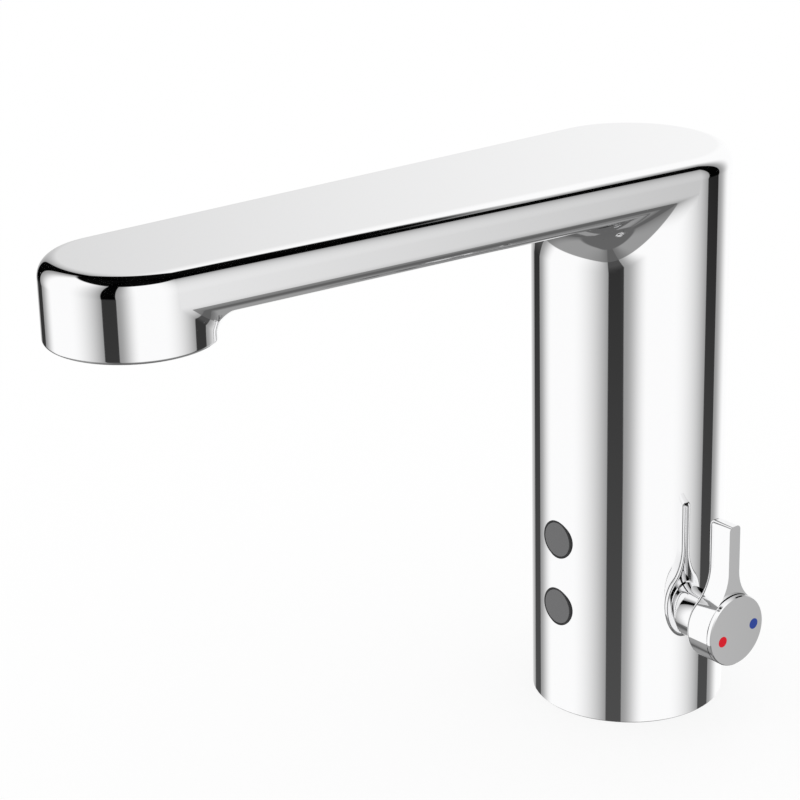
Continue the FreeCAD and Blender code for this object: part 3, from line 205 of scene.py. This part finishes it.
def roundOff(a, b, across, radius):
    # where two distances meet, a ball of this radius rolls along the edge; across is their cosine
    a = a + radius
    b = b + radius
    ball = np.sqrt(np.maximum(a * a + b * b - 2.0 * a * b * across, 0.0)
                   / (1.0 - across * across))
    onEdge = (a > across * b) & (b > across * a)
    return np.where(onEdge, ball, np.maximum(a, b)) - radius


def topPlane(y, z):
    rise = math.radians(casting["topRise"])
    return (z - casting["topHeight"] + math.tan(rise) * y) * math.cos(rise)


def plateForm(p):
    # the arm: a tapered plan between two round ends, a rising top and the same underside
    x, y, z = p.T
    slope = (casting["columnRadius"] - casting["tipRadius"]) / casting["reach"]
    lean = slope / math.sqrt(1.0 - slope * slope)
    along = np.clip(-y - np.abs(x) * lean, 0.0, casting["reach"])
    out = np.hypot(x, y + along)
    flank = out - casting["columnRadius"] + slope * along
    tilt = (y + along) / np.maximum(out, 1e-9) * math.sin(math.radians(casting["topRise"]))
    top = topPlane(y, z)
    under = -top - casting["armThickness"]
    return np.maximum(roundOff(flank, top, tilt, casting["rounding"]),
                      roundOff(flank, under, -tilt, casting["rounding"]))


def columnSide(p):
    return np.hypot(p[:, 0], p[:, 1]) - casting["columnRadius"]


def headSide(p):
    # a round head, cut flat at the back, with round corners
    x, ahead = np.abs(p[:, 0]), p[:, 1] + casting["reach"]
    radius = casting["rounding"]
    cut = casting["headBack"] + casting["reach"]
    inner = casting["tipRadius"] - radius
    across = math.sqrt(inner ** 2 - (cut - radius) ** 2)
    sideways, forward = x - across, ahead - cut + radius
    corner = (sideways > 0.0) & (forward * across > sideways * (cut - radius))
    plain = np.maximum(np.hypot(x, ahead) - casting["tipRadius"], ahead - cut)
    return np.where(corner, np.hypot(sideways, forward) - radius, plain)


def columnForm(p):
    return np.maximum(columnSide(p), topPlane(p[:, 1], p[:, 2]) + casting["overlap"])


def headForm(p):
    shape = roundOff(headSide(p), casting["headBottom"] - p[:, 2], 0.0, casting["headRounding"])
    return np.maximum(shape, topPlane(p[:, 1], p[:, 2]) + casting["overlap"])


def heading(form, p):
    # the form's outward direction
    step = search["probe"]
    parts = [form(p + step * axis) - form(p - step * axis) for axis in np.eye(3)]
    direction = np.stack(parts, axis=1)
    return direction / np.maximum(np.linalg.norm(direction, axis=1, keepdims=True), 1e-12)


def flare(p, side, radius):
    # a ball rests against the arm's underside and an upright form; its centre is sought in the
    # plane through p across its path.  Gives p's distance, direction and whether the ball is there
    under = heading(plateForm, p)
    upright = heading(side, p)
    centre = p + radius * search["start"] * (under + upright)
    for turn in range(search["turns"]):
        under = heading(plateForm, centre)
        upright = heading(side, centre)
        across = np.sum(under * upright, axis=1)
        sine = np.maximum(1.0 - across * across, search["leastSine"])
        a = radius - plateForm(centre)
        b = radius - side(centre)
        run = np.cross(under, upright)
        run /= np.maximum(np.linalg.norm(run, axis=1, keepdims=True), 1e-9)
        step = (((a - across * b) / sine)[:, None] * under
                + ((b - across * a) / sine)[:, None] * upright
                + np.sum((p - centre) * run, axis=1)[:, None] * run)
        size = np.linalg.norm(step, axis=1, keepdims=True)
        centre = centre + step * np.minimum(1.0, search["longest"] / np.maximum(size, 1e-9))
    reach = centre - p
    a = np.sum(reach * under, axis=1)
    b = np.sum(reach * upright, axis=1)
    distance = np.linalg.norm(reach, axis=1)
    settled = ((np.abs(plateForm(centre) - radius) < search["settled"])
               & (np.abs(side(centre) - radius) < search["settled"]))
    held = settled & (across < search["flattest"]) & (a > across * b) & (b > across * a)
    return radius - distance, reach / np.maximum(distance, 1e-9)[:, None], held


def castingForm(p):
    # distance from the casting's outer form, and its outward direction
    forms = (plateForm, columnForm, headForm)
    values = np.stack([form(p) for form in forms])
    nearest = values.argmin(axis=0)
    distance = values.min(axis=0)
    direction = np.zeros_like(p)
    for index, form in enumerate(forms):
        own = nearest == index
        direction[own] = heading(form, p[own])
    low = topPlane(p[:, 1], p[:, 2]) + casting["armThickness"]
    margin = search["margin"]
    for side, radius in ((columnSide, casting["columnFlare"]), (headSide, casting["headFlare"])):
        about = ((low < casting["rounding"]) & (low > -radius - margin) & (side(p) > -margin)
                 & (side(p) < radius + margin) & (plateForm(p) < radius + margin))
        if not about.any():
            continue
        inFlare, towards, held = flare(p[about], side, radius)
        spots = np.flatnonzero(about)[held]
        distance[spots] = inFlare[held]
        direction[spots] = towards[held]
    return distance, direction


def layOn(p):
    # moves points along the form's own direction until they are on it; lost ones go back
    start = p
    for turn in range(search["layTurns"]):
        distance, direction = castingForm(p)
        p = p - distance[:, None] * direction
    distance, direction = castingForm(p)
    lost = ((np.linalg.norm(p - start, axis=1) > search["farthest"])
            | (np.abs(distance) > search["onForm"]))
    p[lost] = start[lost]
    return p


def turnBetween(first, second):
    return np.degrees(np.arccos(np.clip(np.sum(first * second, axis=1), -1.0, 1.0)))


def markSkin(solid):
    # the faces that look outward on the casting's form
    skin = solid.faces.layers.int.new("skin")
    middles = np.array([f.calc_center_median() for f in solid.faces]) * millimetres
    facings = np.array([f.normal for f in solid.faces])
    distance, direction = castingForm(middles)
    outer = ((np.sum(direction * facings, axis=1) > casting["facing"])
             & (np.abs(distance) < casting["nearForm"])
             & (middles[:, 2] > casting["chamfer"]))
    for face, onSkin in zip(solid.faces, outer):
        face[skin] = int(onSkin)
    return skin


def moveOn(verts):
    start = np.array([v.co for v in verts]) * millimetres
    free = start[:, 2] > casting["chamfer"]
    for vert, place, moves in zip(verts, layOn(start.copy()), free):
        if moves:
            vert.co = place / millimetres


def coarseEdges(solid, skin):
    # the skin's edges that bend too much, or miss the form in place or in direction
    edges = [e for e in solid.edges if any(f[skin] for f in e.link_faces)]
    ends = np.array([(e.verts[0].co, e.verts[1].co) for e in edges]) * millimetres
    first = castingForm(ends[:, 0])[1]
    second = castingForm(ends[:, 1])[1]
    off, own = castingForm(ends.mean(axis=1))
    between = first + second
    between /= np.maximum(np.linalg.norm(between, axis=1, keepdims=True), 1e-9)
    length = np.linalg.norm(ends[:, 0] - ends[:, 1], axis=1)
    wanted = ((turnBetween(first, second) > casting["bend"])
              | (np.abs(off) > casting["slack"])
              | (turnBetween(own, between) > casting["miss"]))
    wanted &= length > casting["shortest"]
    return [e for e, split in zip(edges, wanted) if split]


def refineCasting():
    solid = bmesh.new()
    solid.from_mesh(frame["nodes"]["tap_body"].data)
    bmesh.ops.remove_doubles(solid, verts=solid.verts, dist=1e-6)
    skin = markSkin(solid)
    moveOn(list({v for f in solid.faces if f[skin] for v in f.verts}))
    for turn in range(casting["passes"]):
        chosen = coarseEdges(solid, skin)
        if not chosen:
            break
        made = bmesh.ops.subdivide_edges(solid, edges=chosen, cuts=1)
        fresh = [v for v in made["geom_inner"] if isinstance(v, bmesh.types.BMVert)]
        bmesh.ops.triangulate(solid, faces=[f for f in solid.faces if len(f.verts) > 3])
        moveOn(fresh)
    outer = [bool(f[skin]) for f in solid.faces]
    for face in solid.faces:
        face.smooth = True
    mesh = bpy.data.meshes.new("castingSkin")
    solid.to_mesh(mesh)
    solid.free()
    mesh.set_sharp_from_angle(angle=math.radians(casting["crease"]))
    places = np.array([v.co for v in mesh.vertices], float) * millimetres
    directions = castingForm(places)[1]
    normals = np.zeros((len(mesh.loops), 3))
    for face, onSkin in zip(mesh.polygons, outer):
        if onSkin:
            for corner in face.loop_indices:
                normals[corner] = directions[mesh.loops[corner].vertex_index]
    mesh.normals_split_custom_set(normals.tolist())
    return mesh


def addCasting():
    mesh = refineCasting()
    mesh.materials.append(finishes["chrome"])
    piece = bpy.data.objects.new("castingSkin", mesh)
    scene.collection.objects.link(piece)
    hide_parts("tap_body")
    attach(piece, "tap")
    print("casting laid on its form,", len(mesh.polygons), "faces")


addCasting()


# Camera

view = {"place": (0.439597939, -0.424054413, 0.310020050),  # metres
        "azimuth": 51.658146, "height": 20.508267, "roll": -1.388664,  # degrees
        "focal": 2488.711336, "frameWidth": 800.0,  # in the photograph's pixels
        "sensor": 36.0, "near": 0.01, "far": 50.0}


def addCamera():
    a = math.radians(view["azimuth"])
    e = math.radians(view["height"])
    roll = math.radians(view["roll"])
    back = Vector((math.sin(a) * math.cos(e), -math.cos(a) * math.cos(e), math.sin(e)))
    right = Vector((math.cos(a), math.sin(a), 0.0))
    up = back.cross(right)
    turnedRight = right * math.cos(roll) + up * math.sin(roll)
    turnedUp = up * math.cos(roll) - right * math.sin(roll)
    lens = bpy.data.cameras.new("camera")
    lens.sensor_width = view["sensor"]
    lens.lens = view["focal"] * view["sensor"] / view["frameWidth"]
    lens.clip_start = view["near"]
    lens.clip_end = view["far"]
    camera = bpy.data.objects.new("camera", lens)
    axes = Matrix((turnedRight, turnedUp, back)).transposed().to_4x4()
    camera.matrix_world = Matrix.Translation(view["place"]) @ axes
    scene.collection.objects.link(camera)
    scene.camera = camera


addCamera()
print("camera set")


# Studio: a white room with three dark upright flags, a black ceiling and a grey ground,
# seen only in the metal.  Everything else gets plain even light.

studio = {
    "flags": (-93.5, 30.0, 151.3), "flagHalf": 9.3, "flagEdge": 0.6,  # degrees
    "before": 45.0, "after": 27.0, "shoulder": 0.68, "shoulderCurve": 1.75,
    "flagFoot": {"From Min": -28.0, "From Max": -10.0, "To Min": 0.077, "To Max": 0.001},
    "white": 1.03, "plain": 1.0, "bends": 3.0,  # bends: how often the room's edges rise and fall
    "ceiling": 54.0, "ceilingEdge": 1.6, "ceilingLight": 0.002,
    "ceilingWave": 1.0, "ceilingTilt": 2.5, "ceilingHigh": 30.0,
    "ground": -37.5, "groundEdge": 0.7, "groundWave": 0.5,
    "groundLight": 0.107, "groundGlow": 0.22,
    "deep": -64.0, "deepEdge": 1.5, "deepLight": 0.133,
}


def flagGroup():
    # one dark flag at an azimuth, with a soft grey shoulder on each side
    tree = bpy.data.node_groups.new("uprightFlag", "ShaderNodeTree")
    face = tree.interface
    for name in ("Azimuth", "Centre", "Half", "Before", "After"):
        face.new_socket(name, in_out="INPUT", socket_type="NodeSocketFloat")
    for name in ("Core", "Shoulder"):
        face.new_socket(name, in_out="OUTPUT", socket_type="NodeSocketFloat")
    given = addNode(tree, "NodeGroupInput").outputs
    result = addNode(tree, "NodeGroupOutput")
    away = mathNode(tree, "SUBTRACT", given["Azimuth"], given["Centre"])
    away = mathNode(tree, "WRAP", away, 180.0, -180.0)
    size = mathNode(tree, "ABSOLUTE", away)
    core = rangeNode(tree, size,
                     {"From Min": mathNode(tree, "SUBTRACT", given["Half"], studio["flagEdge"]),
                      "From Max": mathNode(tree, "ADD", given["Half"], studio["flagEdge"]),
                      "To Min": 1.0, "To Max": 0.0}, "SMOOTHSTEP")
    tree.links.new(core, result.inputs["Core"])
    beyond = mathNode(tree, "MAXIMUM", mathNode(tree, "SUBTRACT", size, given["Half"]), 0.0)
    slow = mathNode(tree, "SUBTRACT", 1.0, mathNode(tree, "DIVIDE", beyond, given["Before"]))
    slow = mathNode(tree, "POWER", mathNode(tree, "MAXIMUM", slow, 0.0),
                    studio["shoulderCurve"])
    quick = rangeNode(tree, beyond, {"From Max": given["After"], "To Min": 1.0, "To Max": 0.0},
                      "SMOOTHSTEP")
    shoulder = blend(tree, mathNode(tree, "LESS_THAN", away, 0.0), quick, slow)
    tree.links.new(shoulder, result.inputs["Shoulder"])
    return tree


def softStep(tree, value, start, wave, width, low, high):
    # from low to high as the value passes its start, which the wave shifts
    height = mathNode(tree, "SUBTRACT", value, wave)
    return rangeNode(tree, height, {"From Min": start - width, "From Max": start + width,
                                    "To Min": low, "To Max": high}, "SMOOTHSTEP")


def wallLight(tree, azimuth, height):
    group = flagGroup()
    wall = None
    core = None
    for centre in studio["flags"]:
        flag = addNode(tree, "ShaderNodeGroup", node_tree=group)
        tree.links.new(azimuth, flag.inputs["Azimuth"])
        for socket, value in (("Centre", centre), ("Half", studio["flagHalf"]),
                              ("Before", studio["before"]), ("After", studio["after"])):
            flag.inputs[socket].default_value = value
        kept = mathNode(tree, "MULTIPLY_ADD", flag.outputs["Shoulder"], -studio["shoulder"], 1.0)
        wall = kept if wall is None else mathNode(tree, "MULTIPLY", wall, kept)
        core = (flag.outputs["Core"] if core is None
                else mathNode(tree, "MAXIMUM", core, flag.outputs["Core"]))
    wall = mathNode(tree, "MULTIPLY", wall, studio["white"])
    return blend(tree, core, wall, rangeNode(tree, height, studio["flagFoot"]))


def roomLight(tree):
    # the room's brightness by direction
    direction = addNode(tree, "ShaderNodeTexCoord").outputs["Generated"]
    split = addNode(tree, "ShaderNodeSeparateXYZ")
    tree.links.new(direction, split.inputs[0])
    x, y, z = split.outputs
    azimuth = mathNode(tree, "ARCTAN2", x, mathNode(tree, "MULTIPLY", y, -1.0))
    wave = mathNode(tree, "SINE",
                    mathNode(tree, "MULTIPLY_ADD", azimuth, studio["bends"], -math.pi))
    tilt = mathNode(tree, "SUBTRACT", azimuth, math.radians(studio["ceilingHigh"]))
    tilt = mathNode(tree, "MULTIPLY", mathNode(tree, "COSINE", tilt), studio["ceilingTilt"])
    height = mathNode(tree, "DEGREES", mathNode(tree, "ARCSINE", z))
    wall = wallLight(tree, mathNode(tree, "DEGREES", azimuth), height)
    ground = mathNode(tree, "MULTIPLY_ADD", wall, studio["groundGlow"], studio["groundLight"])
    deep = softStep(tree, height, studio["deep"], 0.0, studio["deepEdge"], 1.0, 0.0)
    ground = blend(tree, deep, ground, studio["deepLight"])
    lowWave = mathNode(tree, "MULTIPLY", wave, -studio["groundWave"])
    low = softStep(tree, height, studio["ground"], lowWave, studio["groundEdge"], 1.0, 0.0)
    highWave = mathNode(tree, "MULTIPLY_ADD", wave, studio["ceilingWave"], tilt)
    below = softStep(tree, height, studio["ceiling"], highWave, studio["ceilingEdge"],
                     1.0, studio["ceilingLight"])
    return mathNode(tree, "MULTIPLY", blend(tree, low, wall, ground), below)


def addStudio():
    world = bpy.data.worlds.new("studio")
    scene.world = world
    world.use_nodes = True
    tree = world.node_tree
    tree.nodes.clear()
    inMetal = addNode(tree, "ShaderNodeBackground", {"Color": (1.0, 1.0, 1.0, 1.0)})
    tree.links.new(roomLight(tree), inMetal.inputs["Strength"])
    plain = addNode(tree, "ShaderNodeBackground",
                    {"Color": (1.0, 1.0, 1.0, 1.0), "Strength": studio["plain"]})
    path = addNode(tree, "ShaderNodeLightPath")
    mix = addNode(tree, "ShaderNodeMixShader")
    tree.links.new(path.outputs["Is Glossy Ray"], mix.inputs[0])
    tree.links.new(plain.outputs[0], mix.inputs[1])
    tree.links.new(inMetal.outputs[0], mix.inputs[2])
    output = addNode(tree, "ShaderNodeOutputWorld")
    tree.links.new(mix.outputs[0], output.inputs["Surface"])


addStudio()
print("studio set")


# Floor: pale, with a glow of its own, so that it keeps only a faint shadow

floor = {"half": 6.0, "colour": (0.2, 0.2, 0.2, 1.0), "glow": 0.8}  # half: its half side, m


def addFloor():
    half = floor["half"]
    mesh = bpy.data.meshes.new("floor")
    mesh.from_pydata([(-half, -half, 0), (half, -half, 0), (half, half, 0), (-half, half, 0)],
                     [], [(0, 1, 2, 3)])
    plane = bpy.data.objects.new("floor", mesh)
    scene.collection.objects.link(plane)
    material, tree = newMaterial("paleFloor")
    diffuse = addNode(tree, "ShaderNodeBsdfDiffuse", {"Color": floor["colour"]})
    glow = addNode(tree, "ShaderNodeEmission", {"Strength": floor["glow"]})
    both = addNode(tree, "ShaderNodeAddShader")
    output = addNode(tree, "ShaderNodeOutputMaterial")
    tree.links.new(diffuse.outputs[0], both.inputs[0])
    tree.links.new(glow.outputs[0], both.inputs[1])
    tree.links.new(both.outputs[0], output.inputs["Surface"])
    mesh.materials.append(material)
    plane.visible_glossy = False


addFloor()
print("floor set")
